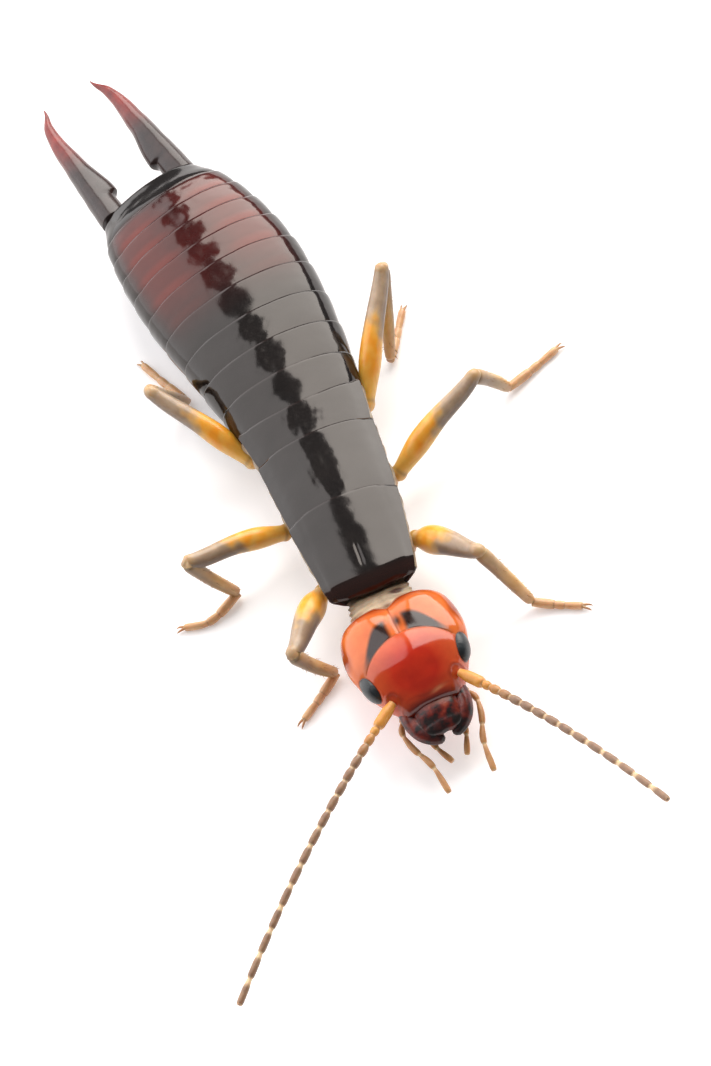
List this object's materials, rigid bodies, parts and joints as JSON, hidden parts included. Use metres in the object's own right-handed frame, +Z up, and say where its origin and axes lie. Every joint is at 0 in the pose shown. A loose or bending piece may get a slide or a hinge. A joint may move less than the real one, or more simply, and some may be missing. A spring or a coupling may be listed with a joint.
{
  "type": "earwig",
  "caption": "Life-size standing earwig: orange head, beaded antennae, glossy black segmented body, banded ochre legs and rear forceps.",
  "frame": {"origin": "on the floor, under the middle of the outline from antenna tips to forceps tips and from claw to claw", "axes": "+X to the insect's left, -Y ahead towards the antennae, +Z up"},
  "size_m": [0.0162, 0.0328, 0.0031],
  "materials": {
    "body_cuticle": "glossy black cuticle, faintly dark red towards the rear",
    "head_cuticle": "glossy orange cuticle turning deep red at the front",
    "mouthparts": "glossy dark red-brown",
    "eyes": "slate black, finely facetted",
    "membrane": "soft cream membrane",
    "legs": "ochre with grey-brown bands",
    "palps": "tan orange with pale joints",
    "antennae": "brown beads with cream joints",
    "forceps": "dark brown turning red at the tips"
  },
  "bodies": {
    "root": {"prothorax": "body_cuticle", "mesothorax": "body_cuticle", "metathorax": "body_cuticle", "abdomen_1": "body_cuticle", "abdomen_2": "body_cuticle", "abdomen_3": "body_cuticle", "abdomen_4": "body_cuticle", "abdomen_5": "body_cuticle", "abdomen_6": "body_cuticle", "abdomen_7": "body_cuticle", "abdomen_8": "body_cuticle", "abdomen_9": "body_cuticle", "abdomen_10": "body_cuticle", "labrum": "mouthparts", "mandible_left": "mouthparts", "maxillary_palp_left": "palps", "labial_palp_left": "palps", "antenna_left": "antennae", "eye_left": "eyes", "mandible_right": "mouthparts", "maxillary_palp_right": "palps", "labial_palp_right": "palps", "antenna_right": "antennae", "eye_right": "eyes", "head": "head_cuticle", "neck": "membrane", "coxa_front_left": "membrane", "femur_front_left": "legs", "tibia_front_left": "legs", "tarsus_front_left": "legs", "coxa_front_right": "membrane", "femur_front_right": "legs", "tibia_front_right": "legs", "tarsus_front_right": "legs", "coxa_middle_left": "membrane", "femur_middle_left": "legs", "tibia_middle_left": "legs", "tarsus_middle_left": "legs", "coxa_middle_right": "membrane", "femur_middle_right": "legs", "tibia_middle_right": "legs", "tarsus_middle_right": "legs", "coxa_hind_left": "membrane", "femur_hind_left": "legs", "tibia_hind_left": "legs", "tarsus_hind_left": "legs", "coxa_hind_right": "membrane", "femur_hind_right": "legs", "tibia_hind_right": "legs", "tarsus_hind_right": "legs", "forceps_left": "forceps", "forceps_right": "forceps", "pygidium": "body_cuticle"}
  },
  "joints": []
}
